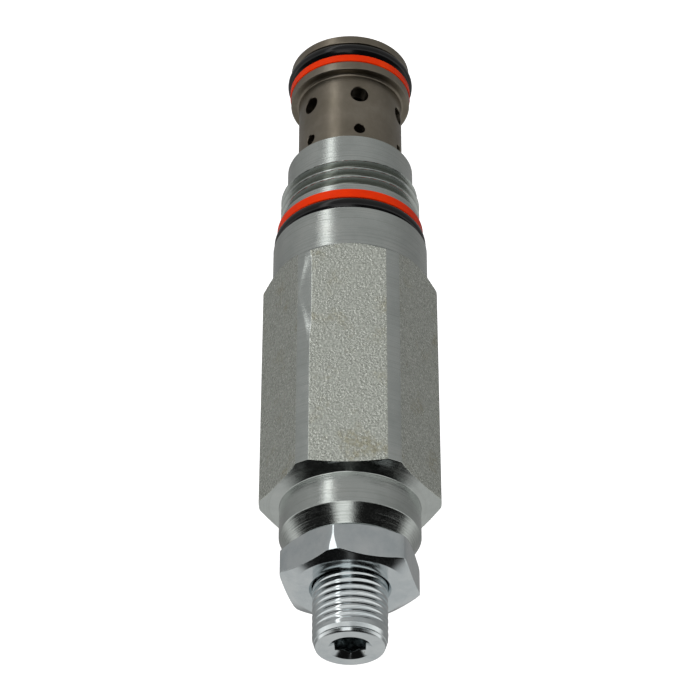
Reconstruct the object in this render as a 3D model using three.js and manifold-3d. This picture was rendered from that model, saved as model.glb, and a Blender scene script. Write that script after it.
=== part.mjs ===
// Screw-in hydraulic relief cartridge valve, millimetres.
// +Z runs from the nose to the adjuster; the origin is the centre of the nose end face.
// One flat of the long hexagon faces -Y.
import * as THREE from 'three';
import { mergeVertices } from 'three/addons/utils/BufferGeometryUtils.js';
import Module from 'manifold-3d';

// ---------- driving dimensions ----------
const SEG = 36;                 // facets round the outside
const SEG_IN = 24;              // facets round small turned pieces

// nose sleeve
const NOSE_R = 8.77;            // nose flange
const NOSE_GROOVE_R = 7.0;      // seal groove root
const NOSE_GROOVE_Z = [1.45, 5.05];
const NOSE_FLANGE_TOP = 6.5;
const SLEEVE_R = 7.55;
const SLEEVE_TOP = 28.0;
const SLEEVE_BORE_R = 5.2;      // damping piston bore
const SEAT_POCKET_R = 6.0;
const SEAT_POCKET_TOP = 6.2;
const GUIDE_POCKET_R = 5.65;
const GUIDE_POCKET_Z = 19.2;
const LARGE_PORT = { z: 10.2, r: 1.32 };
const SMALL_PORT = { z: 16.7, r: 0.82 };
const PORT_AZ = 11.8;           // degrees from -Y, positive towards -X
const PORT_COUNT = 6;

// body
const BODY_FRONT = 19.4;
const PILOT_R = 9.06;
const THREAD_R = 10.0;          // M20 x 1.5
const THREAD_PITCH = 1.5;
const THREAD_START = 24.65;
const THREAD_CRESTS = 3;
const THREAD_LAND_Z = [29.0, 30.2]; // full-diameter land after the last groove
const COLLAR_GROOVE_R = 9.25;
const COLLAR_Z = 33.9;
const COLLAR_R = 10.95;
const HEX_CONE_Z = 40.3;
const HEX_AF = 22.2;            // wrench size, 7/8 in
const HEX_CORNER_R = 12.25;     // corners turned down
const HEX_TOP = 76.1;
const HEX_TOP_SLOPE = 0.3;      // shallow turned cone on the hexagon's rear end
const NECK_R = 9.5;
const NECK_TOP = 81.5;
const BODY_TOP = 84.0;
const BODY_TOP_R = 8.0;
const BODY_BORE_R = 7.62;       // takes the sleeve
const BODY_STEP_Z = 28.3;
const CHAMBER_R = 7.0;          // spring chamber
const CHAMBER_TOP = 76.0;
const SCREW_BORE_R = 5.06;

// adjuster, M10 x 1
const SCREW_R = 4.95;
const SCREW_ROOT_R = 4.36;
const SCREW_PITCH = 1.0;
const SCREW_BOTTOM = 71.6;
const SCREW_TOP = 98.0;
const SOCKET_AF = 4.0;
const SOCKET_DEPTH = 5.0;
const NUT_AF = 17.0;
const NUT_Z = [84.05, 89.3];
const NUT_CORNER_R = 9.62;      // corners rounded off
const NUT_CORNER_AZ = -11.7;

// moving pieces inside
const SEAT_BORE_R = 3.2;
const POPPET_STEM_R = 2.4;
const SPRING_WIRE_R = 1.1;
const SPRING_MEAN_R = 5.5;
const SPRING_Z = [31.66, 61.84];
const BALL_R = 2.0;
const BALL_Z = 70.6;

// ---------- colours ----------
const mat = (color, roughness, metalness) => new THREE.MeshStandardMaterial({ color, roughness, metalness });
const ZINC = () => mat(0xa9aca8, 0.42, 0.85);
const BRIGHT_ZINC = () => mat(0xaab3b9, 0.36, 0.9);
const STEEL = () => mat(0x6f675c, 0.4, 0.9);
const RUBBER = () => mat(0x131313, 0.55, 0.0);
const BACKUP = () => mat(0xcf2f07, 0.45, 0.0);
const HARDENED = () => mat(0x8d8f92, 0.25, 1.0);
const SPRING_STEEL = () => mat(0x4b4d50, 0.35, 0.9);
const BRONZE = () => mat(0xa8763a, 0.4, 0.9);
const PTFE = () => mat(0xe6e4dc, 0.6, 0.0);

// ---------- solid helpers ----------
const wasm = await Module();
wasm.setup();

// closed indexed geometry: merged corners, no flat triangles, faces out
function clean(geometry) {
  let g = geometry.index ? geometry.toNonIndexed() : geometry.clone();
  for (const k of Object.keys(g.attributes)) if (k !== 'position') g.deleteAttribute(k);
  g = mergeVertices(g, 1e-4);
  const p = g.attributes.position.array;
  const ix = g.index.array;
  const keep = [];
  let vol = 0;
  for (let i = 0; i < ix.length; i += 3) {
    const [a, b, c] = [ix[i], ix[i + 1], ix[i + 2]];
    if (a === b || b === c || a === c) continue;
    keep.push(a, b, c);
    const [A, B, C] = [a, b, c].map((k) => [p[3 * k], p[3 * k + 1], p[3 * k + 2]]);
    vol += A[0] * (B[1] * C[2] - B[2] * C[1]) - A[1] * (B[0] * C[2] - B[2] * C[0]) + A[2] * (B[0] * C[1] - B[1] * C[0]);
  }
  if (vol < 0) for (let i = 0; i < keep.length; i += 3) [keep[i + 1], keep[i + 2]] = [keep[i + 2], keep[i + 1]];
  const out = new THREE.BufferGeometry();
  out.setAttribute('position', new THREE.BufferAttribute(new Float32Array(p), 3));
  out.setIndex(keep);
  return out;
}
const toSolid = (geometry) => {
  const g = clean(geometry);
  return new wasm.Manifold(new wasm.Mesh({
    numProp: 3,
    vertProperties: new Float32Array(g.attributes.position.array),
    triVerts: new Uint32Array(g.index.array),
  }));
};
const fromSolid = (solid) => {
  const m = solid.getMesh();
  const out = new THREE.BufferGeometry();
  out.setAttribute('position', new THREE.BufferAttribute(new Float32Array(m.vertProperties), 3));
  out.setIndex(Array.from(m.triVerts));
  return clean(out);
};

// solid of revolution about Z from [r, z] pairs; a profile off the axis closes on itself
function turned(points, segments = SEG) {
  const onAxis = points[0][0] === 0 && points[points.length - 1][0] === 0;
  const list = onAxis ? points : [...points, points[0]];
  const g = new THREE.LatheGeometry(list.map(([r, z]) => new THREE.Vector2(r, z)), segments);
  g.rotateX(Math.PI / 2);
  return clean(g);
}
// ring with an elliptical section
function ovalRing(rMid, zMid, a, b, segments = SEG, around = 10) {
  const pts = [];
  for (let i = 0; i < around; i++) {
    const t = (2 * Math.PI * i) / around;
    pts.push([rMid + a * Math.cos(t), zMid + b * Math.sin(t)]);
  }
  return turned(pts, segments);
}
// rectangular-section ring with softened edges
function flatRing(r0, r1, z0, z1, edge = 0.12, segments = SEG) {
  return turned([[r0, z0], [r1 - edge, z0], [r1, z0 + edge], [r1, z1 - edge], [r1 - edge, z1], [r0, z1]], segments);
}
// split ring: flat ring open over gapDeg, the gap centred on azimuth azDeg measured from +X
function splitRing(r0, r1, z0, z1, gapDeg, azDeg, steps = 30) {
  const a0 = THREE.MathUtils.degToRad(azDeg + gapDeg / 2);
  const a1 = THREE.MathUtils.degToRad(azDeg + 360 - gapDeg / 2);
  const shape = new THREE.Shape();
  for (let i = 0; i <= steps; i++) {
    const a = a0 + ((a1 - a0) * i) / steps;
    if (i === 0) shape.moveTo(r1 * Math.cos(a), r1 * Math.sin(a));
    else shape.lineTo(r1 * Math.cos(a), r1 * Math.sin(a));
  }
  for (let i = steps; i >= 0; i--) {
    const a = a0 + ((a1 - a0) * i) / steps;
    shape.lineTo(r0 * Math.cos(a), r0 * Math.sin(a));
  }
  shape.closePath();
  const g = new THREE.ExtrudeGeometry(shape, { depth: z1 - z0, bevelEnabled: false, steps: 1 });
  g.translate(0, 0, z0);
  return clean(g);
}
// hexagonal prism, across-flats af, one corner at azimuth cornerDeg from -Y towards -X
function hexPrism(af, z0, z1, cornerDeg) {
  const rc = af / Math.sqrt(3);
  const shape = new THREE.Shape();
  for (let i = 0; i < 6; i++) {
    const a = THREE.MathUtils.degToRad(cornerDeg + 60 * i);
    const [x, y] = [-rc * Math.sin(a), -rc * Math.cos(a)];
    if (i === 0) shape.moveTo(x, y);
    else shape.lineTo(x, y);
  }
  shape.closePath();
  const g = new THREE.ExtrudeGeometry(shape, { depth: z1 - z0, bevelEnabled: false, steps: 1 });
  g.translate(0, 0, z0);
  return g;
}
// radial drill at azimuth az from -Y towards -X
function radialDrill(r, z, az, from, to) {
  const g = new THREE.CylinderGeometry(r, r, to - from, 12);
  g.translate(0, (from + to) / 2, 0);
  g.rotateZ(Math.PI);                                   // along -Y
  g.rotateZ(-THREE.MathUtils.degToRad(az));
  g.translate(0, 0, z);
  return g;
}

const valve = new THREE.Group();
valve.name = 'cartridge_valve';
const adjuster = new THREE.Group();
const internals = new THREE.Group();
valve.add(adjuster, internals);
function add(parent, name, geometry, material) {
  geometry.computeVertexNormals();
  const mesh = new THREE.Mesh(geometry, material);
  mesh.name = name;
  parent.add(mesh);
  return mesh;
}

// ---------- hex body ----------
{
  const p = [[BODY_BORE_R, BODY_FRONT], [PILOT_R - 0.2, BODY_FRONT], [PILOT_R, BODY_FRONT + 0.2], [PILOT_R, THREAD_START - 0.6]];
  for (let i = 0; i < THREAD_CRESTS; i++) {
    const z = THREAD_START + THREAD_PITCH * i;
    p.push([THREAD_R, z - 0.1], [THREAD_R, z + 0.1], [PILOT_R + 0.02, z + THREAD_PITCH / 2]);
  }
  p.push(
    [THREAD_R, THREAD_LAND_Z[0]], [THREAD_R, THREAD_LAND_Z[1]], [COLLAR_GROOVE_R, THREAD_LAND_Z[1]], [COLLAR_GROOVE_R, COLLAR_Z], [COLLAR_R - 0.2, COLLAR_Z], [COLLAR_R, COLLAR_Z + 0.2],
    [COLLAR_R, HEX_CONE_Z], [HEX_CORNER_R, HEX_CONE_Z + (HEX_CORNER_R - COLLAR_R)], [HEX_CORNER_R, HEX_TOP],
    [NECK_R, HEX_TOP + HEX_TOP_SLOPE * (HEX_CORNER_R - NECK_R)], [NECK_R, NECK_TOP], [BODY_TOP_R, BODY_TOP],
    [SCREW_BORE_R + 0.5, BODY_TOP], [SCREW_BORE_R, BODY_TOP - 0.5], [SCREW_BORE_R, CHAMBER_TOP], [CHAMBER_R, CHAMBER_TOP],
    [CHAMBER_R, BODY_STEP_Z], [BODY_BORE_R, BODY_STEP_Z],
    [BODY_BORE_R, 25.75], [8.1, 25.75], [8.1, 24.45], [BODY_BORE_R, 24.45],
  );
  const hex = toSolid(hexPrism(HEX_AF, 0, 100, 30));
  add(valve, 'hex_body', fromSolid(toSolid(turned(p)).intersect(hex)), ZINC());
}

// ---------- nose sleeve ----------
{
  const p = [
    [SEAT_POCKET_R + 0.3, 0], [NOSE_R - 0.2, 0], [NOSE_R, 0.2], [NOSE_R, NOSE_GROOVE_Z[0]], [NOSE_GROOVE_R, NOSE_GROOVE_Z[0]],
    [NOSE_GROOVE_R, NOSE_GROOVE_Z[1]], [NOSE_R, NOSE_GROOVE_Z[1]], [NOSE_R, NOSE_FLANGE_TOP], [SLEEVE_R + 0.3, NOSE_FLANGE_TOP],
    [SLEEVE_R, NOSE_FLANGE_TOP + 0.3], [SLEEVE_R, 24.45], [6.95, 24.45], [6.95, 25.75], [SLEEVE_R, 25.75], [SLEEVE_R, SLEEVE_TOP],
    [GUIDE_POCKET_R, SLEEVE_TOP], [GUIDE_POCKET_R, GUIDE_POCKET_Z], [SLEEVE_BORE_R, GUIDE_POCKET_Z], [SLEEVE_BORE_R, SEAT_POCKET_TOP],
    [SEAT_POCKET_R, SEAT_POCKET_TOP], [SEAT_POCKET_R, 1.3], [6.5, 1.3], [6.5, 0.55], [SEAT_POCKET_R, 0.55], [SEAT_POCKET_R, 0.3],
  ];
  let s = toSolid(turned(p));
  for (let i = 0; i < PORT_COUNT; i++) {
    const az = PORT_AZ + (360 / PORT_COUNT) * i;
    s = s.subtract(toSolid(radialDrill(LARGE_PORT.r, LARGE_PORT.z, az, 4, 9.5)));
    s = s.subtract(toSolid(radialDrill(SMALL_PORT.r, SMALL_PORT.z, az, 4, 9.5)));
  }
  add(valve, 'nose_sleeve', fromSolid(s), STEEL());
}

// ---------- outer seals ----------
add(valve, 'nose_o_ring', ovalRing(8.14, 2.63, 1.1, 1.14), RUBBER());
add(valve, 'nose_backup_ring', flatRing(7.04, 8.9, 3.83, 5.0), BACKUP());
add(valve, 'collar_backup_ring', flatRing(9.3, 10.45, 30.3, 31.7), BACKUP());
add(valve, 'collar_o_ring', ovalRing(10.05, 32.8, 0.77, 1.05), RUBBER());

// ---------- seat ----------
add(internals, 'valve_seat', turned([
  [4.3, 1.35], [5.65, 1.35], [5.95, 1.65], [5.95, 2.95], [4.82, 2.95], [4.82, 4.45], [5.95, 4.45], [5.95, 6.14],
  [3.6, 6.14], [SEAT_BORE_R, 5.74], [SEAT_BORE_R, 2.45],
], SEG_IN), HARDENED());
add(internals, 'seat_o_ring', ovalRing(5.4, 3.7, 0.53, 0.66, SEG_IN, 8), RUBBER());
add(internals, 'seat_retaining_ring', splitRing(5.0, 6.42, 0.62, 1.22, 40, 90, 24), SPRING_STEEL());
add(internals, 'sleeve_retaining_ring', splitRing(7.02, 8.04, 24.52, 25.68, 20, 90), SPRING_STEEL());

// ---------- poppet group ----------
const SEAT_GAP = 0.06;
add(internals, 'poppet', turned([
  [0, 4.3], [4.3 - 2.54 - SEAT_GAP, 4.3], [4.2, 6.74 + SEAT_GAP], [4.2, 7.5], [2.6, 8.3], [2.6, 12.0], [4.9, 12.0], [5.12, 12.22],
  [5.12, 13.2], [4.2, 13.2], [4.2, 14.4], [5.12, 14.4], [5.12, 15.38], [4.9, 15.6], [POPPET_STEM_R, 15.6],
  [POPPET_STEM_R, 30.6], [POPPET_STEM_R - 0.4, 31.0], [0, 31.0],
], SEG_IN), HARDENED());
add(internals, 'damping_ring', flatRing(4.25, 5.14, 13.26, 14.34, 0.1, SEG_IN), PTFE());
{
  let s = toSolid(turned([
    [2.5, 19.26], [5.3, 19.26], [5.6, 19.56], [5.6, 27.2], [2.8, 27.2], [2.5, 26.9],
  ], SEG_IN));
  for (const x of [-4.05, 4.05]) {
    const g = new THREE.CylinderGeometry(0.65, 0.65, 12, 8);
    g.rotateX(Math.PI / 2);
    g.translate(x, 0, 23);
    s = s.subtract(toSolid(g));
  }
  add(internals, 'poppet_guide', fromSolid(s), BRONZE());
}
add(internals, 'lower_spring_seat', turned([
  [POPPET_STEM_R + 0.08, 28.9], [4.6, 28.9], [5.1, 29.4], [6.55, 29.4], [6.75, 29.6], [6.75, 31.4], [6.55, 31.6], [4.1, 31.6],
  [4.1, 34.0], [3.6, 34.6], [0.8, 34.6], [0.8, 31.35], [POPPET_STEM_R + 0.08, 31.35],
], SEG_IN), HARDENED());

// ---------- main spring ----------
{
  const closed = 2 * SPRING_WIRE_R + 0.06;              // pitch of the end turns
  const turnsEnd = 1, turnsMid = 5;
  const z0 = SPRING_Z[0] + SPRING_WIRE_R, z1 = SPRING_Z[1] - SPRING_WIRE_R;
  const total = 2 * turnsEnd + turnsMid;
  const mid = (z1 - z0 - 2 * closed * turnsEnd) / turnsMid;
  class Coil extends THREE.Curve {
    getPoint(t, target = new THREE.Vector3()) {
      const n = t * total;
      let z = z0;
      if (n < turnsEnd) z += closed * n;
      else if (n < turnsEnd + turnsMid) z += closed * turnsEnd + mid * (n - turnsEnd);
      else z += closed * turnsEnd + mid * turnsMid + closed * (n - turnsEnd - turnsMid);
      const a = 2 * Math.PI * n;
      return target.set(SPRING_MEAN_R * Math.cos(a), SPRING_MEAN_R * Math.sin(a), z);
    }
    getPointAt(t, target) { return this.getPoint(t, target); }
  }
  const section = new THREE.Shape();
  for (let i = 0; i < 6; i++) {
    const a = (Math.PI / 3) * (i + 0.5);
    const [x, y] = [SPRING_WIRE_R * Math.cos(a), SPRING_WIRE_R * Math.sin(a)];
    if (i === 0) section.moveTo(x, y);
    else section.lineTo(x, y);
  }
  section.closePath();
  const g = new THREE.ExtrudeGeometry(section, { steps: total * 12, bevelEnabled: false, extrudePath: new Coil() });
  add(internals, 'main_spring', clean(g), SPRING_STEEL());
}
add(internals, 'preload_shim', flatRing(4.2, 6.6, 61.9, 62.5, 0.1, SEG_IN), HARDENED());

// ---------- adjusting piston ----------
const BALL_CLEAR = 0.04;
const dimple = Math.SQRT2 * (BALL_R + BALL_CLEAR);      // apex distance of a 90 degree cone round the ball
add(adjuster, 'adjusting_piston', turned([
  [0, 57.4], [3.6, 57.4], [4.1, 57.9], [4.1, 62.55], [6.72, 62.55], [6.92, 62.75], [6.92, 64.6], [5.3, 64.6], [5.3, 67.6],
  [6.92, 67.6], [6.92, 70.0], [6.72, 70.2], [70.2 - (BALL_Z - dimple), 70.2], [0, BALL_Z - dimple],
], SEG_IN), HARDENED());
add(adjuster, 'piston_o_ring', ovalRing(6.14, 65.58, 0.8, 0.88, SEG_IN, 8), RUBBER());
add(adjuster, 'piston_backup_ring', flatRing(5.34, 6.93, 66.56, 67.54, 0.1, SEG_IN), PTFE());
{
  const g = new THREE.SphereGeometry(BALL_R, 14, 10);
  g.translate(0, 0, BALL_Z);
  add(adjuster, 'thrust_ball', clean(g), HARDENED());
}

// ---------- adjusting screw ----------
{
  const p = [
    [0, BALL_Z + dimple], [BALL_Z + dimple - SCREW_BOTTOM, SCREW_BOTTOM], [4.0, SCREW_BOTTOM], [4.3, SCREW_BOTTOM + 0.3], [4.3, 72.6],
    [3.7, 72.6], [3.7, 73.5], [4.3, 73.5], [4.3, 74.0], [SCREW_R, 74.65], [SCREW_R, 89.55],
  ];
  for (let z = 90.05; z < 97.1; z += SCREW_PITCH) {
    p.push([SCREW_ROOT_R, z], [SCREW_R, z + 0.42], [SCREW_R, z + 0.58]);
  }
  p.push([SCREW_ROOT_R + 0.1, 97.35], [4.5, 97.55], [4.13, SCREW_TOP], [2.9, SCREW_TOP], [2.2, SCREW_TOP - 0.45], [0, SCREW_TOP - 0.45]);
  let s = toSolid(turned(p, SEG_IN));
  s = s.subtract(toSolid(hexPrism(SOCKET_AF, SCREW_TOP - SOCKET_DEPTH, SCREW_TOP + 1, 0)));
  add(adjuster, 'adjusting_screw', fromSolid(s), BRIGHT_ZINC());
}
add(adjuster, 'screw_stop_ring', splitRing(3.76, 6.1, 72.66, 73.44, 60, 90, 24), SPRING_STEEL());

// ---------- lock nut ----------
{
  const [z0, z1] = NUT_Z;
  const s = toSolid(turned([
    [7.0, z0], [7.95, z0], [NUT_CORNER_R, z0 + 0.577 * (NUT_CORNER_R - 7.95)], [NUT_CORNER_R, z1 - 0.42 * (NUT_CORNER_R - 7.65)], [7.65, z1],
    [5.4, z1], [SCREW_BORE_R, z1 - 0.35], [SCREW_BORE_R, z0 + 1.55], [7.0, z0 + 1.55],
  ])).intersect(toSolid(hexPrism(NUT_AF, z0 - 1, z1 + 1, NUT_CORNER_AZ)));
  add(adjuster, 'lock_nut', fromSolid(s), BRIGHT_ZINC());
}
add(adjuster, 'nut_seal_ring', flatRing(5.1, 6.88, 84.06, 85.5, 0.15, SEG_IN), PTFE());

export default valve;
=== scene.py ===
import math
import bpy
import numpy as np
from mathutils import Matrix, Vector


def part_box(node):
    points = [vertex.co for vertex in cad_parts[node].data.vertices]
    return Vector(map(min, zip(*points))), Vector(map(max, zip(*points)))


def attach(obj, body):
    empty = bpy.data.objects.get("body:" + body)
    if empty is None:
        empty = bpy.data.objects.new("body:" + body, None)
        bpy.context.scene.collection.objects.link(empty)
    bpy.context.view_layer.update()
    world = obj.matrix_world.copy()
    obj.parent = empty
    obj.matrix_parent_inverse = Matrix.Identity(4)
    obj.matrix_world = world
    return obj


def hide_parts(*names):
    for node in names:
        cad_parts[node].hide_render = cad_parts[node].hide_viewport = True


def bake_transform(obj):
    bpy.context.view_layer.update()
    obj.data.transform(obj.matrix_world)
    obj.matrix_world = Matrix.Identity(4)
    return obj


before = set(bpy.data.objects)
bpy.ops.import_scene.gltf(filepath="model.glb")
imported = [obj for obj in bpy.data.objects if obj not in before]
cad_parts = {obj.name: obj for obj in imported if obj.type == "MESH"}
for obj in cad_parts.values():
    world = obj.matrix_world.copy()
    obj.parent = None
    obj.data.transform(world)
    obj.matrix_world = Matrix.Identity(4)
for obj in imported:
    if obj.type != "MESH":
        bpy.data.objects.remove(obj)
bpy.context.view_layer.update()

MM = 0.001
scene = bpy.context.scene

# ------------------------------------------------------------------ sizes (mm), same as the CAD source
HEX_AF, HEX_CORNER_R = 22.2, 12.25
NUT_AF, NUT_CORNER_AZ = 17.0, -11.7
PORT_AZ, SOCKET_AF = 11.8, 4.0
NODE = {n: (Vector(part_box(n)[0]) / MM, Vector(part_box(n)[1]) / MM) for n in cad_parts}
SCREW_TOP = NODE["adjusting_screw"][1].z
SCREW_BOTTOM = NODE["adjusting_screw"][0].z
NUT_Z0, NUT_Z1 = NODE["lock_nut"][0].z, NODE["lock_nut"][1].z
BODY_Z0, BODY_Z1 = NODE["hex_body"][0].z, NODE["hex_body"][1].z


# ------------------------------------------------------------------ mesh tools
def rounded(points, n=4, closed=True, support=0.03):
    """Points are (r, z, fillet). Corners get arcs of n steps, with a support point on each side."""
    pts = [(p[0], p[1], p[2] if len(p) > 2 else 0.0) for p in points]
    out = []
    m = len(pts)
    for i, (r, z, rad) in enumerate(pts):
        if rad <= 0 or (not closed and i in (0, m - 1)):
            out.append((r, z))
            continue
        p = np.array([r, z])
        a = np.array(pts[i - 1][:2]) - p
        b = np.array(pts[(i + 1) % m][:2]) - p
        la, lb = np.linalg.norm(a), np.linalg.norm(b)
        u, v = a / la, b / lb
        ang = math.acos(max(-1, min(1, float(u @ v))))
        if ang > math.radians(176):
            out.append((r, z))
            continue
        t = min(rad / math.tan(ang / 2), 0.45 * la, 0.45 * lb)
        rr = t * math.tan(ang / 2)
        bis = (u + v) / np.linalg.norm(u + v)
        c = p + bis * (rr / math.sin(ang / 2))
        p0, p1 = p + u * t, p + v * t
        if t + support < 0.48 * la:
            out.append(tuple(p + u * (t + support)))
        a0 = math.atan2(*(p0 - c)[::-1])
        a1 = math.atan2(*(p1 - c)[::-1])
        d = (a1 - a0 + math.pi) % (2 * math.pi) - math.pi
        for k in range(n + 1):
            t2 = a0 + d * k / n
            out.append((c[0] + rr * math.cos(t2), c[1] + rr * math.sin(t2)))
        if t + support < 0.48 * lb:
            out.append(tuple(p + v * (t + support)))
    return out


def densify(points, step, closed=True):
    """step is a number or a function of (r, z) giving the longest stretch between points there."""
    out = []
    m = len(points)
    for i in range(m if closed else m - 1):
        a = np.array(points[i], float)
        b = np.array(points[(i + 1) % m], float)
        s = step(*((a + b) / 2)) if callable(step) else step
        k = max(1, int(math.ceil(np.linalg.norm(b - a) / s)))
        for j in range(k):
            out.append(tuple(a + (b - a) * j / k))
    if not closed:
        out.append(tuple(points[-1]))
    return out


def smin(a, b, k):
    h = np.maximum(k - np.abs(a - b), 0) / k
    return np.minimum(a, b) - h * h * k / 4


def smax(a, b, k):
    return -smin(-a, -b, k)


def hexdist(theta, af, corner):
    """Distance from the axis to a hexagon's side, at angle theta; corner is the angle of one corner."""
    t = (theta - corner) % (math.pi / 3) - math.pi / 6
    return (af / 2) / np.cos(t)


def az(deg):
    """Azimuth from -Y towards -X, as an angle from +X."""
    return math.atan2(-math.cos(math.radians(deg)), -math.sin(math.radians(deg)))


def shade(me, angle=40):
    me.polygons.foreach_set("use_smooth", np.ones(len(me.polygons), bool))
    me.set_sharp_from_angle(angle=math.radians(angle))


def make_mesh(name, verts, faces):
    me = bpy.data.meshes.new(name)
    me.from_pydata([tuple(v) for v in verts], [], [tuple(f) for f in faces])
    me.validate()
    me.update()
    ob = bpy.data.objects.new(name, me)
    scene.collection.objects.link(ob)
    return ob


def revolve(name, profile, cols=96, rmod=None, closed=True, angle=40, thetas=None, masks=None):
    """Turns a profile of (r, z) in mm about Z. rmod(r, z, theta) may change the radius. closed joins the profile to itself;
    otherwise it starts and ends on the axis."""
    P = np.array(profile, float)
    if not closed:
        core = P[1:-1]
    else:
        core = P
    area = 0.5 * np.sum(P[:, 0] * np.roll(P[:, 1], -1) - np.roll(P[:, 0], -1) * P[:, 1])
    th = np.array(thetas) if thetas is not None else np.linspace(0, 2 * math.pi, cols, endpoint=False)
    M, N = len(th), len(core)
    R = np.repeat(core[:, 0][:, None], M, 1)
    Z = np.repeat(core[:, 1][:, None], M, 1)
    T = np.repeat(th[None, :], N, 0)
    if rmod is not None:
        R = rmod(R, Z, T)
        if isinstance(R, tuple):
            R, Z = R
    V = np.stack([R * np.cos(T), R * np.sin(T), Z], -1).reshape(-1, 3) * MM
    idx = np.arange(N * M).reshape(N, M)
    rows = N if closed else N - 1
    a = idx[np.arange(rows)]
    b = idx[(np.arange(rows) + 1) % N]
    a2, b2 = np.roll(a, -1, 1), np.roll(b, -1, 1)
    F = np.stack([a, a2, b2, b], -1).reshape(-1, 4)
    faces = F.tolist()
    verts = V.tolist()
    if not closed:
        s, e = len(verts), len(verts) + 1
        verts += [(0, 0, P[0, 1] * MM), (0, 0, P[-1, 1] * MM)]
        first, last = idx[0], idx[-1]
        for j in range(M):
            k = (j + 1) % M
            faces.append((s, first[k], first[j]))
            faces.append((e, last[j], last[k]))
    if area < 0:
        faces = [f[::-1] for f in faces]
    ob = make_mesh(name, verts, faces)
    shade(ob.data, angle)
    if masks:
        for mname, fn in masks.items():
            w = fn(R, Z, T).reshape(-1)
            if not closed:
                w = np.concatenate([w, [0, 0]])
            at = ob.data.attributes.new(mname, "FLOAT", "POINT")
            at.data.foreach_set("value", w.astype(np.float32))
    return ob


def boolean(ob, cutters, angle=35):
    for c in cutters:
        m = ob.modifiers.new("cut", "BOOLEAN")
        m.operation, m.solver, m.object = "DIFFERENCE", "EXACT", c
    dg = bpy.context.evaluated_depsgraph_get()
    me = bpy.data.meshes.new_from_object(ob.evaluated_get(dg))
    ob.modifiers.clear()
    old = ob.data
    ob.data = me
    bpy.data.meshes.remove(old)
    for c in cutters:
        bpy.data.objects.remove(c)
    me.name = ob.name
    shade(me, angle)
    return ob


def sector_angles(fine_at, fine=0.25, coarse=3.0, reach=2.0):
    """Angles all the way round, in radians, closer together near the given angles in degrees."""
    out, t = [], 0.0
    marks = [a % 360 for a in fine_at]
    while t < 360 - 1e-6:
        out.append(t)
        d = min(min(abs(t - m), 360 - abs(t - m)) for m in marks)
        t += fine if d < reach else min(coarse, max(fine, (d - reach) * 0.9 + fine))
    return np.radians(out)


# ------------------------------------------------------------------ hexagon body
def body_step(r, z):
    if r < 8.7 and 19.6 < z < 83.8:
        return 4.0
    if 24.0 <= z <= 29.4 and r > 8.5:
        return 0.036
    if 40.1 <= z <= 41.9 or 75.9 <= z <= 77.0:
        return 0.05
    if 41.9 < z < 57.5:
        return 0.4
    if 41.9 < z < 75.9:
        return 1.0
    return 0.5


def thread_shape(phase):
    """0 at the root, 1 at the crest, for a 60 degree thread; phase runs 0 to 1 along one pitch, crest at 0."""
    t = np.abs((phase + 0.5) % 1.0 - 0.5)
    return np.clip((0.43 - t) / 0.355, 0, 1)


HEX_CORNER0 = math.radians(az(30) * 180 / math.pi)


def body_rmod(R, Z, T):
    out = R.copy()
    band = (Z > 24.0) & (Z < 29.4) & (R > 8.9) & (R < 9.2)
    lead = np.clip((Z - 24.05) / 0.5, 0, 1)
    ph = (Z - 24.65) / 1.5 - (T + math.pi / 2) / (2 * math.pi)
    land = np.clip((Z - 28.75) / 0.3, 0, 1)
    s = np.maximum(thread_shape(ph) ** 1.7 * lead, land)
    out = np.where(band, 9.06 + 0.92 * s, out)
    hx = hexdist(T, HEX_AF, HEX_CORNER0)
    wide = (Z > 40.2) & (Z < 77.0) & (R > 9.6)
    # a shallow pressed mark in one turned corner
    phi = np.degrees(np.arctan2(-np.cos(T), -np.sin(T)))
    edge = -26.3 - 8.0 * np.clip(1 - np.abs(Z - 48.2) / 7.2, 0, 1)
    d = phi - edge
    on = wide & (phi > -36) & (phi < -21) & (Z > 41.7) & (Z < 56.5)
    dent = np.clip((d + 1.0) / 4.5, 0, 1)
    dent = dent * dent * (3 - 2 * dent) * 0.09 - 0.04 * np.exp(-((d + 1.4) / 1.0) ** 2)
    fade = np.clip((Z - 41.7) / 1.2, 0, 1) * np.clip((56.5 - Z) / 2.0, 0, 1)
    out = np.where(on, out - dent * fade, out)
    out = np.where(wide, smin(out, hx, 0.04), out)
    return out


def flat_mask(R, Z, T):
    hx = hexdist(T, HEX_AF, HEX_CORNER0)
    on = np.clip((0.02 - np.abs(R - hx)) / 0.02 + 0.5, 0, 1) * (Z > 40.2) * (Z < 76.9)
    return on


# painted shade: weight that darkens the thread band towards its roots, 1 at the roots and 0 at the crests
def thread_root_shade_mask(R, Z, T):
    return np.clip((9.8 - R) / 0.5, 0, 1) * np.clip((Z - 24.2) / 0.4, 0, 1) * (Z < 29.35) * (R > 8.9)


body_profile = rounded([
    (7.62, BODY_Z0, 0.05), (9.06, BODY_Z0, 0.12), (9.06, 24.0), (9.06, 29.38), (9.98, 29.4), (9.98, 30.2, 0.12), (9.25, 30.2, 0.05),
    (9.25, 33.9, 0.05), (10.95, 33.9, 0.16), (10.95, 40.3, 0.1), (12.25, 41.6, 0.2), (12.25, 76.1, 0.15), (9.5, 76.92, 0.18),
    (9.5, 81.5, 0.22), (8.0, BODY_Z1, 0.2), (5.56, BODY_Z1, 0.05), (5.06, 83.5), (5.06, 76.0, 0.1), (7.0, 76.0, 0.1),
    (7.0, 28.3, 0.1), (7.62, 28.3, 0.05), (7.62, 25.75), (8.1, 25.75), (8.1, 24.45), (7.62, 24.45)], n=4)
corner_marks = [az(30 + 60 * k) * 180 / math.pi + d for k in range(6) for d in (-5, 5)] + [az(a) * 180 / math.pi for a in (-33, -31, -29, -27)]
hex_body = revolve("hex_body_skin", densify(body_profile, body_step), rmod=body_rmod,
                   thetas=sector_angles(corner_marks, 0.3, 2.5, 1.2), masks={"flat_mask": flat_mask, "thread_root_shade_mask": thread_root_shade_mask})

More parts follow.
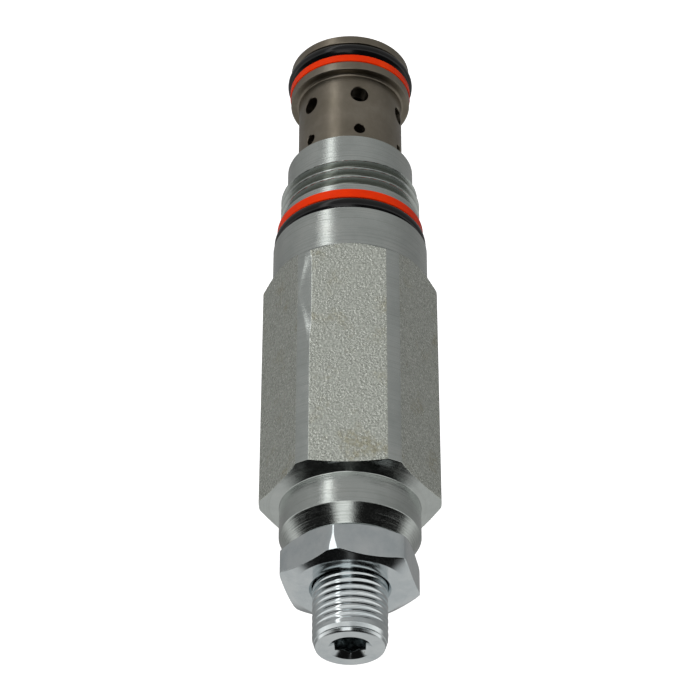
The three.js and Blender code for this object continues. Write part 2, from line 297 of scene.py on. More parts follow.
# ------------------------------------------------------------------ nose sleeve with its ports
sleeve_profile = rounded([
    (6.3, 0.0, 0.04), (8.77, 0.0, 0.22), (8.77, 1.45, 0.2), (7.0, 1.45, 0.05), (7.0, 5.05, 0.05), (8.77, 5.05, 0.1), (8.77, 6.5, 0.2),
    (7.55, 6.5, 0.35), (7.55, 24.45), (6.95, 24.45), (6.95, 25.75), (7.55, 25.75), (7.55, 28.0, 0.2), (5.65, 28.0, 0.1), (5.65, 19.2),
    (5.2, 19.2, 0.05), (5.2, 6.2, 0.05), (6.0, 6.2), (6.0, 1.3), (6.5, 1.3), (6.5, 0.55), (6.0, 0.55), (6.0, 0.3)], n=4)
sleeve = revolve("nose_sleeve_skin", densify(sleeve_profile, 1.2), cols=144)


def drill(r, z, azimuth, flare):
    """Radial cutter with a small flare at the outer surface, r 7.55."""
    prof = densify([(0, 4.0), (r, 4.0), (r, 7.5 - flare), (r + flare * 2.2, 7.5 + flare * 1.2), (r + flare * 2.2, 9.6), (0, 9.6)], 3.0, closed=False)
    ob = revolve("drill", prof, cols=40, closed=False)
    a = az(azimuth)
    ob.data.transform(Matrix.Translation((0, 0, z * MM)) @ Matrix.Rotation(a, 4, "Z") @ Matrix.Rotation(math.pi / 2, 4, "Y"))
    return ob


cut = []
for k in range(6):
    cut.append(drill(1.32, 10.2, PORT_AZ + 60 * k, 0.07))
    cut.append(drill(0.82, 16.7, PORT_AZ + 60 * k, 0.05))
boolean(sleeve, cut, 35)


# ------------------------------------------------------------------ rings
def oval(rm, zm, a, b, n=28):
    return [(rm + a * math.cos(2 * math.pi * i / n), zm + b * math.sin(2 * math.pi * i / n)) for i in range(n)]


def ring(name, r0, r1, z0, z1, f=0.12, cols=144, step=0.6):
    return revolve(name, densify(rounded([(r0, z0, f), (r1, z0, f), (r1, z1, f), (r0, z1, f)], n=4), step), cols=cols)


nose_o = revolve("nose_o_ring_skin", oval(8.14, 2.63, 1.1, 1.14), cols=160)
nose_b = ring("nose_backup_ring_skin", 7.04, 8.9, 3.83, 5.0, 0.1)
collar_b = ring("collar_backup_ring_skin", 9.3, 10.45, 30.3, 31.7, 0.1)
collar_o = revolve("collar_o_ring_skin", oval(10.05, 32.8, 0.77, 1.05, 36), cols=160)
seat_o = revolve("seat_o_ring_skin", oval(5.4, 3.7, 0.53, 0.66, 20), cols=72)
piston_o = revolve("piston_o_ring_skin", oval(6.14, 65.58, 0.8, 0.88, 20), cols=72)
piston_b = ring("piston_backup_ring_skin", 5.34, 6.93, 66.56, 67.54, 0.08, 72)
damping = ring("damping_ring_skin", 4.25, 5.14, 13.26, 14.34, 0.08, 72)
shim = ring("preload_shim_skin", 4.2, 6.6, 61.9, 62.5, 0.08, 72)
nut_seal = ring("nut_seal_ring_skin", 5.1, 6.88, 84.08, 85.5, 0.15, 72)


def split_ring(name, r0, r1, z0, z1, gap, at, f=0.06, cols=96):
    sec = rounded([(r0, z0, f), (r1, z0, f), (r1, z1, f), (r0, z1, f)], n=3)
    N = len(sec)
    verts, faces = [], []
    for j in range(cols + 1):
        a = math.radians(at + gap / 2 + (360 - gap) * j / cols)
        for r, z in sec:
            verts.append((r * math.cos(a) * MM, r * math.sin(a) * MM, z * MM))
    for j in range(cols):
        for i in range(N):
            k = (i + 1) % N
            faces.append((j * N + i, (j + 1) * N + i, (j + 1) * N + k, j * N + k)[::-1])
    faces.append(tuple(range(N))[::-1][::-1])
    faces.append(tuple(cols * N + i for i in range(N))[::-1])
    ob = make_mesh(name, verts, faces)
    import bmesh
    bm = bmesh.new()
    bm.from_mesh(ob.data)
    bmesh.ops.recalc_face_normals(bm, faces=bm.faces)
    bm.to_mesh(ob.data)
    bm.free()
    shade(ob.data, 35)
    return ob


seat_clip = split_ring("seat_retaining_ring_skin", 5.0, 6.42, 0.62, 1.22, 40, 90)
sleeve_clip = split_ring("sleeve_retaining_ring_skin", 7.02, 8.04, 24.52, 25.68, 20, 90, 0.3)
stop_clip = split_ring("screw_stop_ring_skin", 3.76, 6.1, 72.66, 73.44, 60, 90)

# ------------------------------------------------------------------ turned pieces inside
seat = revolve("valve_seat_skin", densify(rounded([
    (4.3, 1.35, 0.1), (5.95, 1.35, 0.35), (5.95, 2.95, 0.05), (4.82, 2.95, 0.05), (4.82, 4.45, 0.05), (5.95, 4.45, 0.05), (5.95, 6.14, 0.1),
    (3.6, 6.14, 0.03), (3.2, 5.74, 0.03), (3.2, 2.45, 0.15)]), 0.8), cols=96)
poppet = revolve("poppet_skin", densify(rounded([
    (0, 4.3), (1.7, 4.3, 0.15), (4.2, 6.8, 0.1), (4.2, 7.5, 0.1), (2.6, 8.3, 0.5), (2.6, 12.0, 0.3), (5.12, 12.0, 0.2), (5.12, 13.2, 0.04),
    (4.2, 13.2, 0.04), (4.2, 14.4, 0.04), (5.12, 14.4, 0.04), (5.12, 15.6, 0.2), (2.4, 15.6, 0.3), (2.4, 31.0, 0.35), (0, 31.0)],
    closed=False), 0.8, closed=False), cols=96, closed=False)
guide = revolve("poppet_guide_skin", densify(rounded([
    (2.5, 19.26, 0.15), (5.6, 19.26, 0.25), (5.6, 27.2, 0.1), (2.5, 27.2, 0.25)]), 1.0), cols=96)


def axial_drill(x, y, r, z0, z1):
    ob = revolve("drill", [(0, z0), (r, z0), (r, z1), (0, z1)], cols=32, closed=False)
    ob.data.transform(Matrix.Translation((x * MM, y * MM, 0)))
    return ob


boolean(guide, [axial_drill(4.05, 0, 0.65, 18, 29), axial_drill(-4.05, 0, 0.65, 18, 29)])
spring_seat = revolve("lower_spring_seat_skin", densify(rounded([
    (2.48, 28.9, 0.1), (4.7, 28.9, 0.1), (5.2, 29.4, 0.1), (6.75, 29.4, 0.2), (6.75, 31.6, 0.2), (4.1, 31.6, 0.15), (4.1, 34.6, 0.6),
    (0.8, 34.6, 0.1), (0.8, 31.35), (2.48, 31.35)]), 0.8), cols=96)
piston = revolve("adjusting_piston_skin", densify(rounded([
    (0, 57.4), (4.1, 57.4, 0.5), (4.1, 62.55, 0.1), (6.92, 62.55, 0.2), (6.92, 64.6, 0.04), (5.3, 64.6, 0.05), (5.3, 67.6, 0.05),
    (6.92, 67.6, 0.04), (6.92, 70.2, 0.2), (2.49, 70.2, 0.06), (0, 67.72)], closed=False), 0.8, closed=False), cols=96, closed=False)
ball = revolve("thrust_ball_skin", [(2.0 * math.sin(math.pi * i / 24), 70.6 - 2.0 * math.cos(math.pi * i / 24)) for i in range(25)], cols=64, closed=False)


# ------------------------------------------------------------------ main spring: closed and ground ends, two halves that meet in the middle
def spring_half(name, upper):
    z_lo, z_hi, wr, rm = 31.66, 61.84, 1.1, 5.5
    total, closed_pitch = 7.0, 2.26
    mid = (z_hi - z_lo - 2 * wr - 2 * closed_pitch) / 5.0
    n0, n1 = (3.5, 7.0) if upper else (0.0, 3.5)
    steps, sides = 240, 20
    ns = np.linspace(n0, n1, steps + 1)
    zc = np.where(ns < 1, closed_pitch * ns, np.where(ns < 6, closed_pitch + mid * (ns - 1), closed_pitch + 5 * mid + closed_pitch * (ns - 6)))
    zc = zc + z_lo + wr
    ang = 2 * math.pi * ns
    C = np.stack([rm * np.cos(ang), rm * np.sin(ang), zc], -1)
    out = np.stack([np.cos(ang), np.sin(ang), np.zeros_like(ang)], -1)
    tan = np.gradient(C, axis=0)
    tan /= np.linalg.norm(tan, axis=1)[:, None]
    up = np.cross(tan, out)
    a = 2 * math.pi * np.arange(sides) / sides
    V = C[:, None, :] + wr * (np.cos(a)[None, :, None] * out[:, None, :] + np.sin(a)[None, :, None] * up[:, None, :])
    g0, g1 = z_lo + 0.34, z_hi - 0.34                     # the ground ends
    V[..., 2] = np.clip(V[..., 2], g0, g1)
    V[..., 2] = z_lo + (V[..., 2] - g0) * (z_hi - z_lo) / (g1 - g0)
    V = V.reshape(-1, 3) * MM
    faces = []
    for j in range(steps):
        for i in range(sides):
            k = (i + 1) % sides
            faces.append((j * sides + i, j * sides + k, (j + 1) * sides + k, (j + 1) * sides + i))
    faces.append(tuple(range(sides))[::-1])
    faces.append(tuple(steps * sides + i for i in range(sides)))
    ob = make_mesh(name, V.tolist(), faces)
    import bmesh
    bm = bmesh.new()
    bm.from_mesh(ob.data)
    bmesh.ops.recalc_face_normals(bm, faces=bm.faces)
    bm.to_mesh(ob.data)
    bm.free()
    shade(ob.data, 50)
    return ob


spring_lo = spring_half("main_spring_lower_coils", False)
spring_hi = spring_half("main_spring_upper_coils", True)


# ------------------------------------------------------------------ adjusting screw
def screw_step(r, z):
    if r > 4.2 and 86.0 < z < 97.7:
        return 0.03
    if r > 4.2 and 74.0 < z <= 86.0:
        return 0.1
    if r < 3.0 and z > 97.0:
        return 0.05
    if r < 3.0 and 92.0 < z < 97.0:
        return 0.6
    return 0.5


SOCK0 = az(0)


def screw_rmod(R, Z, T):
    out = R.copy()
    band = (Z > 74.3) & (Z < 96.84) & (R > 4.3)
    u = (Z - 93.35) - (T + math.pi / 2) / (2 * math.pi)
    t = np.abs((u + 0.5) % 1.0 - 0.5)
    deep = 0.108 * (0.5 - 0.5 * np.cos(2 * math.pi * t)) ** 1.1
    # one turn near the end is worn flat on one side
    phi = np.abs(np.degrees(np.arctan2(-np.cos(T), -np.sin(T))))
    worn = np.clip(1 - np.abs(u - 2.5) / 0.62, 0, 1) ** 0.5 * np.clip((85 - phi) / 25, 0, 1)
    deep = deep * (1 - 0.93 * worn) + 0.02 * worn
    lead = np.clip((Z - 74.5) / 0.6, 0, 1)
    turn_end = np.clip((Z - 96.45) / 0.25, 0, 1)
    out = np.where(band, 4.975 - deep * lead * (1 - turn_end) - 0.05 * turn_end, out)
    hx = hexdist(T, SOCKET_AF, SOCK0)
    inside = (Z > 92.9) & (R < 3.3)
    floor_ = (R < 1.99) | (Z < 93.02)
    out = np.where(inside & ~floor_, smax(out, hx, 0.12), out)
    out = np.where(inside & floor_ & (Z < 93.3), np.minimum(out * hx / 2.0, hx), out)
    return out


screw_profile = rounded([
    (0, 73.48), (1.9, SCREW_BOTTOM, 0.06), (4.3, SCREW_BOTTOM, 0.25), (4.3, 72.6, 0.03), (3.7, 72.6, 0.03), (3.7, 73.5, 0.03), (4.3, 73.5, 0.05),
    (4.36, 74.5), (4.92, 96.85, 0.1), (4.75, 97.4, 0.03), (4.67, 97.46, 0.02), (4.71, 97.54, 0.03), (4.56, 97.95, 0.05), (4.35, SCREW_TOP, 0.04), (2.9, SCREW_TOP, 0.16), (2.0, 97.3), (2.0, 93.0, 0.05), (0, 92.2)],
    n=4, closed=False)
screw_profile = [p for p in screw_profile]
sock_marks = [az(60 * k) * 180 / math.pi for k in range(6)]
screw = revolve("adjusting_screw_skin", densify(screw_profile, screw_step, closed=False), closed=False, rmod=screw_rmod,
                thetas=sector_angles(sock_marks, 0.8, 3.0, 2.5), angle=50)


# ------------------------------------------------------------------ lock nut
def nut_step(r, z):
    if r < 5.8:
        return 0.12
    if r > 7.4 and (z > NUT_Z1 - 1.25 or z < NUT_Z0 + 1.3):
        return 0.045
    return 0.4


NUT0 = az(NUT_CORNER_AZ)


def nut_rmod(R, Z, T):
    hx = hexdist(T, NUT_AF, NUT0)
    hx = smin(hx, np.full_like(hx, 9.7), 0.5)
    # the facing corner is knocked flat
    off = np.angle(np.exp(1j * (T - az(NUT_CORNER_AZ - 5.5))))
    up = np.clip(((Z - NUT_Z0) / (NUT_Z1 - NUT_Z0) - 0.35) / 0.45, 0, 1)
    hx = np.where(np.abs(off) < 0.5, smin(hx, (9.53 - 0.2 * up * up) / np.cos(np.clip(off, -0.5, 0.5)), 0.06), hx)
    return np.where(R > 7.3, smin(R, hx, 0.12), R)


RC = 9.9
nut_profile = rounded([
    (7.0, NUT_Z0, 0.05), (7.95, NUT_Z0, 0.12), (RC, NUT_Z0 + 0.577 * (RC - 7.95), 0.0), (RC, NUT_Z1 - 0.42 * (RC - 7.65), 0.0), (7.65, NUT_Z1, 0.12),
    (5.42, NUT_Z1, 0.08), (5.06, NUT_Z1 - 0.36, 0.05), (5.06, NUT_Z0 + 1.55, 0.05), (7.0, NUT_Z0 + 1.55, 0.05)], n=4)
nut_marks = [az(NUT_CORNER_AZ + 60 * k) * 180 / math.pi for k in range(6)]
nut = revolve("lock_nut_skin", densify(nut_profile, nut_step), rmod=nut_rmod, thetas=sector_angles(nut_marks, 0.35, 2.5, 3.0), angle=50)


# ------------------------------------------------------------------ materials
class Nodes:
    def __init__(self, name):
        self.mat = bpy.data.materials.new(name)
        self.mat.use_nodes = True
        self.t = self.mat.node_tree
        self.b = self.t.nodes["Principled BSDF"]
        self.coord = self.t.nodes.new("ShaderNodeTexCoord")

    def new(self, kind, **props):
        n = self.t.nodes.new(kind)
        for k, v in props.items():
            if isinstance(v, (int, float, tuple)) and k in n.inputs:
                n.inputs[k].default_value = v
            else:
                setattr(n, k, v)
        return n

    def link(self, a, b):
        self.t.links.new(a, b)

    def mapped(self, scale):
        m = self.new("ShaderNodeMapping")
        m.inputs["Scale"].default_value = scale
        self.link(self.coord.outputs["Object"], m.inputs["Vector"])
        return m.outputs["Vector"]

    def noise(self, scale, detail=3.0, rough=0.5, vec=None, distortion=0.0):
        n = self.new("ShaderNodeTexNoise")
        n.inputs["Scale"].default_value = scale
        n.inputs["Detail"].default_value = detail
        n.inputs["Roughness"].default_value = rough
        n.inputs["Distortion"].default_value = distortion
        self.link(vec if vec is not None else self.coord.outputs["Object"], n.inputs["Vector"])
        return n.outputs["Fac"]

    def voronoi(self, scale, vec=None, feature="F1", out="Distance"):
        n = self.new("ShaderNodeTexVoronoi")
        n.feature = feature
        n.inputs["Scale"].default_value = scale
        self.link(vec if vec is not None else self.coord.outputs["Object"], n.inputs["Vector"])
        return n.outputs[out]

    def ramp(self, fac, stops):
        n = self.new("ShaderNodeValToRGB")
        el = n.color_ramp.elements
        while len(el) < len(stops):
            el.new(0.5)
        for e, (p, c) in zip(el, stops):
            e.position = p
            e.color = (*c, 1.0) if len(c) == 3 else c
        self.link(fac, n.inputs["Fac"])
        return n.outputs["Color"]

    def remap(self, v, a, b, c, d):
        n = self.new("ShaderNodeMapRange")
        for i, x in zip((1, 2, 3, 4), (a, b, c, d)):
            n.inputs[i].default_value = x
        self.link(v, n.inputs[0])
        return n.outputs[0]

    def math(self, op, a, b=None, clamp=False):
        n = self.new("ShaderNodeMath", operation=op)
        n.use_clamp = clamp
        for i, v in enumerate((a, b)):
            if v is None:
                continue
            if isinstance(v, (int, float)):
                n.inputs[i].default_value = v
            else:
                self.link(v, n.inputs[i])
        return n.outputs[0]

    def mix(self, fac, a, b):
        n = self.new("ShaderNodeMix", data_type="RGBA")
        for sock, v in (("Factor", fac), ("A", a), ("B", b)):
            s = next(i for i in n.inputs if i.name == sock and (i.type == "RGBA" if sock != "Factor" else i.type == "VALUE"))
            if isinstance(v, (int, float)):
                s.default_value = v
            elif isinstance(v, tuple):
                s.default_value = (*v, 1.0)
            else:
                self.link(v, s)
        return next(o for o in n.outputs if o.type == "RGBA")

    def attr(self, name):
        n = self.new("ShaderNodeAttribute")
        n.attribute_name = name
        return n.outputs["Fac"]

    def bump(self, height, strength, distance, prev=None):
        n = self.new("ShaderNodeBump")
        n.inputs["Distance"].default_value = distance
        if isinstance(strength, (int, float)):
            n.inputs["Strength"].default_value = strength
        else:
            self.link(strength, n.inputs["Strength"])
        self.link(height, n.inputs["Height"])
        if prev is not None:
            self.link(prev, n.inputs["Normal"])
        return n.outputs["Normal"]

    def done(self, color, rough, normal=None, metallic=None, **sockets):
        self.link(color, self.b.inputs["Base Color"])
        if isinstance(rough, (int, float)):
            self.b.inputs["Roughness"].default_value = rough
        else:
            self.link(rough, self.b.inputs["Roughness"])
        if normal is not None:
            self.link(normal, self.b.inputs["Normal"])
        if metallic is not None:
            self.b.inputs["Metallic"].default_value = metallic
        for k, v in sockets.items():
            self.b.inputs[k.replace("_", " ")].default_value = v
        return self.mat


def zinc_body():
    m = Nodes("zinc_body")
    flat = m.attr("flat_mask")
    # colour: broad clouding, grain on the flats, brown specks, dark pits
    cloud = m.noise(180, 4, 0.6)
    fine = m.noise(3600, 3, 0.65)
    base = m.ramp(cloud, [(0.3, (0.46, 0.49, 0.47)), (0.55, (0.53, 0.56, 0.54)), (0.75, (0.58, 0.60, 0.575))])
    flatc = m.ramp(fine, [(0.3, (0.36, 0.38, 0.33)), (0.5, (0.57, 0.595, 0.54)), (0.7, (0.82, 0.84, 0.78))])
    tint = m.math("MULTIPLY", m.remap(m.noise(210, 3, 0.6), 0.56, 0.70, 0.0, 0.6), m.remap(m.noise(1600, 2, 0.6), 0.42, 0.58, 0.2, 1.0))
    flatc = m.mix(tint, flatc, (0.40, 0.37, 0.24))
    col = m.mix(flat, base, flatc)
    speck = m.voronoi(330, feature="F1")
    speckm = m.math("MULTIPLY", m.remap(speck, 0.05, 0.13, 1.0, 0.0), m.remap(m.noise(120, 2, 0.5), 0.60, 0.68, 0.0, 1.0))
    col = m.mix(speckm, col, (0.20, 0.13, 0.07))
    # height: turning marks on round parts, blasted grain on the flats
    turn = m.noise(1.0, 3, 0.65, m.mapped((25, 25, 5200)))
    grain = m.noise(3000, 3, 0.6)
    grain2 = m.voronoi(3100)
    micro = m.noise(9000, 2, 0.5)
    # painted shade: the thread band is darkened towards its roots, where shade falls between the crests
    thread = m.attr("thread_root_shade_mask")
    col = m.mix(m.math("MULTIPLY", thread, 0.62), col, (0.15, 0.155, 0.12))
    lines = m.math("MULTIPLY", m.remap(turn, 0.5, 0.72, 0.0, 0.34), m.remap(flat, 0, 1, 1.0, 0.0))
    col = m.mix(lines, col, (0.28, 0.30, 0.27))
    n1 = m.bump(turn, m.remap(flat, 0, 1, 0.5, 0.0), 0.00006)
    hsum = m.math("ADD", m.math("MULTIPLY", grain, 0.7), m.math("MULTIPLY", grain2, 0.45))
    n2 = m.bump(hsum, m.remap(flat, 0, 1, 0.02, 0.95), 0.00015, n1)
    n3 = m.bump(micro, m.remap(flat, 0, 1, 0.12, 0.5), 0.00004, n2)
    rough = m.math("ADD", m.remap(flat, 0, 1, 0.17, 0.26), m.remap(m.noise(700, 3, 0.6), 0.3, 0.7, -0.03, 0.05))
    return m.done(col, rough, n3, 1.0)


def bright_zinc():
    m = Nodes("bright_zinc")
    cloud = m.noise(260, 4, 0.6)
    base = m.ramp(cloud, [(0.3, (0.55, 0.60, 0.62)), (0.55, (0.65, 0.69, 0.70)), (0.75, (0.71, 0.745, 0.75))])
    speck = m.remap(m.voronoi(700), 0.04, 0.1, 1.0, 0.0)
    speckm = m.math("MULTIPLY", speck, m.remap(m.noise(300, 2, 0.5), 0.60, 0.68, 0.0, 0.7))
    col = m.mix(speckm, base, (0.30, 0.25, 0.18))
    n1 = m.bump(m.noise(900, 3, 0.5), 0.05, 0.00003)
    n2 = m.bump(m.noise(1.0, 2, 0.6, m.mapped((60, 60, 4200))), 0.04, 0.00002, n1)
    rough = m.math("ADD", 0.13, m.remap(m.noise(800, 3, 0.6), 0.3, 0.7, -0.03, 0.05))
    return m.done(col, rough, n2, 1.0)


def sleeve_steel():
    m = Nodes("sleeve_steel")
    cloud = m.noise(150, 4, 0.65)
    base = m.ramp(cloud, [(0.3, (0.20, 0.175, 0.135)), (0.55, (0.255, 0.225, 0.18)), (0.75, (0.31, 0.28, 0.23))])
    stain = m.remap(m.noise(90, 3, 0.6, distortion=0.6), 0.55, 0.75, 0.0, 0.45)
    col = m.mix(stain, base, (0.17, 0.135, 0.095))
    n1 = m.bump(m.noise(1.0, 3, 0.7, m.mapped((30, 30, 6500))), 0.22, 0.00003)
    n2 = m.bump(m.noise(2600, 3, 0.6), 0.14, 0.00003, n1)
    rough = m.math("ADD", 0.34, m.remap(m.noise(900, 3, 0.6), 0.3, 0.7, -0.04, 0.07))
    return m.done(col, rough, n2, 1.0)


def seal_rubber():
    m = Nodes("seal_rubber")
    col = m.ramp(m.noise(400, 3, 0.6), [(0.3, (0.002, 0.002, 0.0022)), (0.7, (0.005, 0.005, 0.0055))])
    n1 = m.bump(m.noise(1800, 3, 0.6), 0.12, 0.00004)
    rough = m.remap(m.noise(500, 4, 0.6), 0.3, 0.7, 0.12, 0.2)
    return m.done(col, rough, n1, 0.0, Specular_IOR_Level=0.3)


def backup_orange():
    m = Nodes("backup_orange")
    col = m.ramp(m.noise(220, 3, 0.6), [(0.3, (0.62, 0.024, 0.001)), (0.6, (0.70, 0.032, 0.001)), (0.8, (0.76, 0.050, 0.002))])
    n1 = m.bump(m.noise(1.0, 3, 0.6, m.mapped((90, 90, 5000))), 0.14, 0.00003)
    rough = m.remap(m.noise(600, 3, 0.6), 0.3, 0.7, 0.32, 0.44)
    return m.done(col, rough, n1, 0.0, Specular_IOR_Level=0.08)


def hardened():
    m = Nodes("hardened_steel")
    col = m.ramp(m.noise(300, 3, 0.6), [(0.3, (0.42, 0.42, 0.43)), (0.7, (0.56, 0.565, 0.575))])
    n1 = m.bump(m.noise(1.0, 3, 0.65, m.mapped((30, 30, 7000))), 0.12, 0.00002)
    rough = m.remap(m.noise(900, 3, 0.6), 0.3, 0.7, 0.16, 0.28)
    return m.done(col, rough, n1, 1.0)


def spring_steel():
    m = Nodes("spring_steel")
    col = m.ramp(m.noise(500, 3, 0.6), [(0.3, (0.10, 0.10, 0.11)), (0.7, (0.22, 0.215, 0.21))])
    n1 = m.bump(m.noise(2200, 3, 0.6), 0.2, 0.00003)
    rough = m.remap(m.noise(700, 3, 0.6), 0.3, 0.7, 0.30, 0.42)
    return m.done(col, rough, n1, 1.0)


def bronze():
    m = Nodes("guide_bronze")
    col = m.ramp(m.noise(300, 3, 0.6), [(0.3, (0.42, 0.24, 0.08)), (0.7, (0.58, 0.36, 0.14))])
    n1 = m.bump(m.noise(1.0, 3, 0.65, m.mapped((30, 30, 6000))), 0.16, 0.00003)
    rough = m.remap(m.noise(900, 3, 0.6), 0.3, 0.7, 0.26, 0.38)
    return m.done(col, rough, n1, 1.0)


def ptfe():
    m = Nodes("ptfe")
    col = m.ramp(m.noise(300, 3, 0.6), [(0.3, (0.72, 0.70, 0.64)), (0.7, (0.82, 0.81, 0.77))])
    n1 = m.bump(m.noise(1500, 3, 0.6), 0.1, 0.00003)
    rough = m.remap(m.noise(700, 3, 0.6), 0.3, 0.7, 0.42, 0.55)
    return m.done(col, rough, n1, 0.0)


MATS = {"zinc_body": zinc_body(), "bright_zinc": bright_zinc(), "sleeve_steel": sleeve_steel(), "seal_rubber": seal_rubber(),
        "backup_ring": backup_orange(), "hardened_steel": hardened(), "spring_steel": spring_steel(), "guide_bronze": bronze(), "ptfe": ptfe()}

PIECES = [
    (hex_body, "hex_body", "cartridge", "zinc_body"), (sleeve, "nose_sleeve", "cartridge", "sleeve_steel"),
    (nose_o, "nose_o_ring", "cartridge", "seal_rubber"), (nose_b, "nose_backup_ring", "cartridge", "backup_ring"),
    (collar_o, "collar_o_ring", "cartridge", "seal_rubber"), (collar_b, "collar_backup_ring", "cartridge", "backup_ring"),
    (seat, "valve_seat", "cartridge", "hardened_steel"), (seat_o, "seat_o_ring", "cartridge", "seal_rubber"),
    (seat_clip, "seat_retaining_ring", "cartridge", "spring_steel"), (sleeve_clip, "sleeve_retaining_ring", "cartridge", "spring_steel"),
    (guide, "poppet_guide", "cartridge", "guide_bronze"), (poppet, "poppet", "poppet", "hardened_steel"),
    (damping, "damping_ring", "poppet", "ptfe"), (spring_seat, "lower_spring_seat", "poppet", "hardened_steel"),
    (piston, "adjusting_piston", "spring_adjuster", "hardened_steel"), (piston_o, "piston_o_ring", "spring_adjuster", "seal_rubber"),
    (piston_b, "piston_backup_ring", "spring_adjuster", "ptfe"), (shim, "preload_shim", "spring_adjuster", "hardened_steel"),
    (ball, "thrust_ball", "spring_adjuster", "hardened_steel"), (screw, "adjusting_screw", "screw", "bright_zinc"),
    (stop_clip, "screw_stop_ring", "screw", "spring_steel"), (nut_seal, "nut_seal_ring", "nut_seal", "ptfe"),
    (nut, "lock_nut", "nut", "bright_zinc")]
for ob, node, body, slot in PIECES:
    ob.data.materials.clear()
    ob.data.materials.append(MATS[slot])
    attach(ob, body)
    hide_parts(node)

# the lower and upper coils meet in the middle; both get the spring steel and stay baked in place, not attached to any
# body
for ob, a, b, z0, z1 in ((spring_lo, "poppet", "cartridge", 0.0338, 0.04675), (spring_hi, "cartridge", "spring_adjuster", 0.04675, 0.0597)):
    ob.data.materials.append(MATS["spring_steel"])
    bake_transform(ob)
    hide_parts("main_spring")

# ------------------------------------------------------------------ stage: floor, light, camera
floor = make_mesh("floor", [(-3, -3, -0.25), (3, -3, -0.25), (3, 3, -0.25), (-3, 3, -0.25)], [(0, 1, 2, 3)])
fm = Nodes("floor_paper")
fcol = fm.ramp(fm.noise(3, 2, 0.5), [(0.3, (0.93, 0.93, 0.93)), (0.7, (0.96, 0.96, 0.96))])
fm.done(fcol, 0.9, None, 0.0)
fm.link(fcol, fm.b.inputs["Emission Color"])
fm.b.inputs["Emission Strength"].default_value = 1.0
floor.data.materials.append(fm.mat)
floor.visible_glossy = False
floor.visible_diffuse = False
floor.visible_shadow = False

world = bpy.data.worlds.new("studio")
scene.world = world
world.use_nodes = True
wt = world.node_tree
W = Nodes.__new__(Nodes)
W.t = wt
W.coord = wt.nodes.new("ShaderNodeTexCoord")
bg = wt.nodes["Background"]
sep = wt.nodes.new("ShaderNodeSeparateXYZ")
wt.links.new(W.coord.outputs["Generated"], sep.inputs[0])
X, Y, Z = sep.outputs
# azimuth from -Y towards -X, in degrees, and elevation
azn = W.math("MULTIPLY", W.math("ARCTAN2", W.math("MULTIPLY", X, -1.0), W.math("MULTIPLY", Y, -1.0)), 180 / math.pi)
aza = W.math("ABSOLUTE", azn)
el = W.math("MULTIPLY", W.math("ARCSINE", Z), 180 / math.pi)


def step(v, a, b):
    n = wt.nodes.new("ShaderNodeMapRange")
    n.interpolation_type = "SMOOTHSTEP"
    n.inputs[1].default_value, n.inputs[2].default_value = min(a, b), max(a, b)
    n.inputs[3].default_value, n.inputs[4].default_value = (0.0, 1.0) if a < b else (1.0, 0.0)
    wt.links.new(v, n.inputs[0])
    return n.outputs[0]


def mul(*vs):
    o = vs[0]
    for v in vs[1:]:
        o = W.math("MULTIPLY", o, v)
    return o


below = step(el, 4, -6)
above = step(el, -6, 4)
low = W.math("ADD", 0.28, mul(step(aza, 105, 30), 0.14))
low = W.math("ADD", low, mul(step(azn, -40, -70), step(azn, -130, -110), 0.07))
back = mul(above, step(aza, 88, 112), step(el, 54, 44), 0.58)
strip = mul(step(el, 0, -8), step(W.math("ABSOLUTE", W.math("ADD", azn, 35.0)), 8.5, 2.5), 1.45)
patch = mul(step(W.math("ABSOLUTE", W.math("ADD", azn, 10.0)), 20, 9), step(el, 4, 10), step(el, 46, 36), 1.3)
glint = mul(step(aza, 6, 3), step(el, 42, 46), step(el, 60, 54), 1.2)
horizon = mul(step(aza, 125, 95), step(el, -12, -5), step(el, 8, 3), 0.8)
overhead = mul(step(W.math("ABSOLUTE", X), 0.045, 0.02), step(el, 62, 68), 0.10)
dark = mul(above, 0.006)
total = mul(below, low)
for v in (back, strip, patch, glint, horizon, overhead, dark):
    total = W.math("ADD", total, v)
wt.links.new(total, bg.inputs["Strength"])
bg.inputs["Color"].default_value = (1.0, 1.0, 0.99, 1)

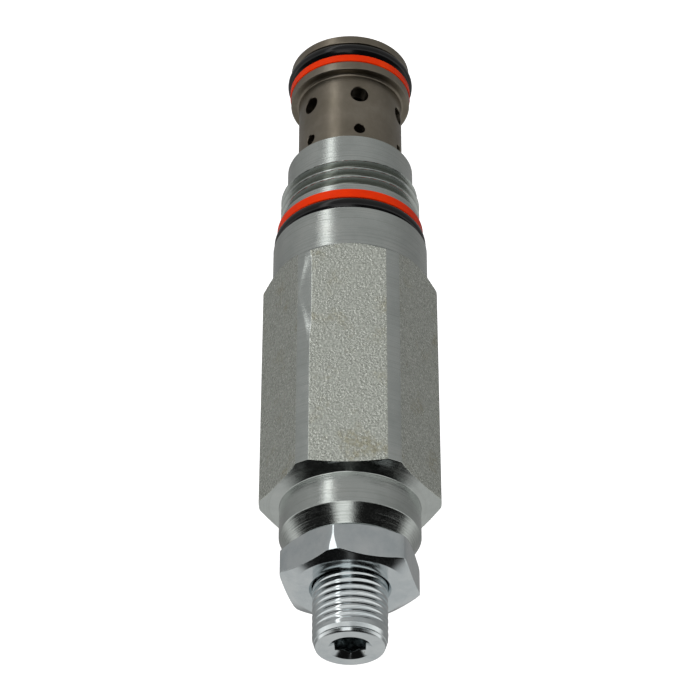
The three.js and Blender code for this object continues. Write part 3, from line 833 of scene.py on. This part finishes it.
# front fill that only reaches the seals: metals keep the reflections of the studio
fill_data = bpy.data.lights.new("front_fill", "AREA")
fill_data.shape, fill_data.size, fill_data.energy = "DISK", 0.5, 4.0
fill = bpy.data.objects.new("front_fill", fill_data)
scene.collection.objects.link(fill)
fill.location = (0.12, -0.62, 0.42)
fill.rotation_euler = (Vector((0, 0, 0.03)) - Vector(fill.location)).to_track_quat("-Z", "Y").to_euler()
fill.visible_glossy = False
fill.visible_camera = False

dome = revolve("backdrop", [(0, -2400)] + [(2400 * math.cos(a), 2400 * math.sin(a)) for a in np.linspace(-math.pi / 2, math.pi / 2, 26)[1:-1]] + [(0, 2400)], cols=48, closed=False)
dm = Nodes("backdrop_paper")
dcol = dm.ramp(dm.noise(1.0, 2, 0.5), [(0.3, (0.97, 0.97, 0.97)), (0.7, (0.99, 0.99, 0.99))])
dm.link(dcol, dm.b.inputs["Emission Color"])
dm.b.inputs["Emission Strength"].default_value = 1.0
dm.b.inputs["Base Color"].default_value = (0, 0, 0, 1)
dome.data.materials.append(dm.mat)
for v in ("visible_glossy", "visible_diffuse", "visible_shadow", "visible_transmission"):
    setattr(dome, v, False)

cam_data = bpy.data.cameras.new("camera")
cam = bpy.data.objects.new("camera", cam_data)
scene.collection.objects.link(cam)
scene.camera = cam
ELEV, DIST, FOCAL_PX, AIM_Z, YAW = 35.5, 379.0, 2723.0, 50.7, 1.3
cam_data.sensor_width = 36.0
cam_data.lens = FOCAL_PX / 700.0 * 36.0
cam_data.clip_start, cam_data.clip_end = 0.01, 10
yaw, e = math.radians(YAW), math.radians(ELEV)
back_v = Vector((-math.sin(yaw) * math.cos(e), -math.cos(yaw) * math.cos(e), math.sin(e)))
aim = Vector((0, 0, AIM_Z * MM))
right_v = Vector((-math.cos(yaw), math.sin(yaw), 0))          # the picture's right: the nose is at the top
up_v = back_v.cross(right_v)
aim = aim - right_v * 0.00002
cam.matrix_world = Matrix((
    (right_v.x, up_v.x, back_v.x, aim.x + back_v.x * DIST * MM),
    (right_v.y, up_v.y, back_v.y, aim.y + back_v.y * DIST * MM),
    (right_v.z, up_v.z, back_v.z, aim.z + back_v.z * DIST * MM),
    (0, 0, 0, 1)))

scene.view_settings.view_transform = "Standard"
scene.view_settings.look = "None"
